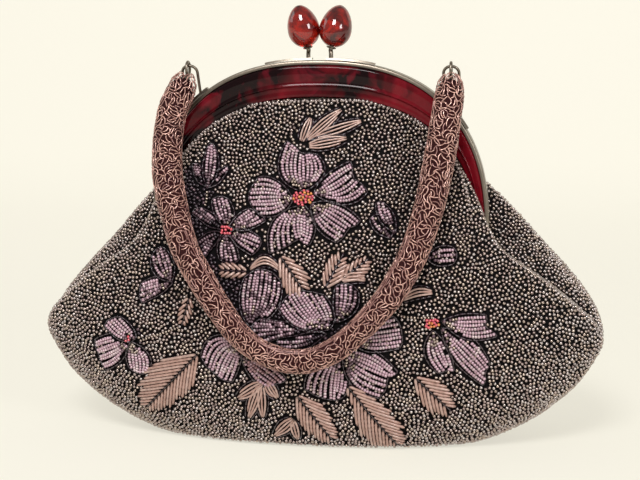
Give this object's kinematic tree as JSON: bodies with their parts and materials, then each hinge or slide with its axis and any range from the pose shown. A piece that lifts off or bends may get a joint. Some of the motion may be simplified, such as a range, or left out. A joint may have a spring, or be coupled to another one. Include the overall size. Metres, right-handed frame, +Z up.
{
  "type": "beaded handbag",
  "caption": "Beaded pouch handbag with an arched resin and metal kiss-lock frame, two ball clasp knobs and a swinging padded handle.",
  "frame": {"origin": "middle of the flat base, on the surface that the bag stands on", "axes": "+X along the bag's width, towards the front clasp knob's side; -Y out of the front, where the handle hangs; +Z up"},
  "size_m": [0.275, 0.0982, 0.209],
  "materials": {
    "nickel": "polished nickel plate",
    "marbled_resin": "moulded dark red marbled resin, polished",
    "knob_resin": "translucent amber red resin, polished",
    "beaded_fabric": "cloth covered with plum and bronze glass seed beads",
    "edge_beads": "one line of plum glass beads",
    "bead_strands": "maroon cloth covered with looped rose bead strands",
    "cord": "cotton cord filler",
    "satin": "plum satin lining"
  },
  "bodies": {
    "bag": {"front_rim": "nickel", "front_resin_arch": "marbled_resin", "front_frame_plate": "nickel", "front_clasp_arm": "nickel", "front_clasp_knob": "knob_resin", "front_edge_beads": "edge_beads", "hinge_rivet_left": "nickel", "hinge_rivet_right": "nickel", "handle_bail_left": "nickel", "handle_bail_right": "nickel", "front_panel": "beaded_fabric", "back_panel": "beaded_fabric", "base_panel": "beaded_fabric", "lining_front": "satin", "lining_back": "satin", "lining_pocket": "satin"},
    "rear_frame": {"rear_rim": "nickel", "rear_resin_arch": "marbled_resin", "rear_frame_plate": "nickel", "rear_clasp_arm": "nickel", "rear_clasp_knob": "knob_resin", "rear_edge_beads": "edge_beads", "back_yoke": "beaded_fabric", "lining_yoke": "satin"},
    "handle": {"handle_sleeve": "bead_strands", "handle_core": "cord", "handle_cap_left": "bead_strands", "handle_cap_right": "bead_strands", "handle_ring_left": "nickel", "handle_ring_right": "nickel"}
  },
  "joints": [
    {"name": "frame_hinge", "type": "hinge", "parent": "bag", "child": "rear_frame", "pos_m": [0, 0, 0.101], "axis": [-1, 0, 0], "range_deg": [0, 75], "deforming": ["back_panel", "lining_back"]},
    {"name": "handle_swing", "type": "hinge", "parent": "bag", "child": "handle", "pos_m": [0, -0.0135, 0.1805], "axis": [-1, 0, 0], "range_deg": [0, 255]}
  ]
}
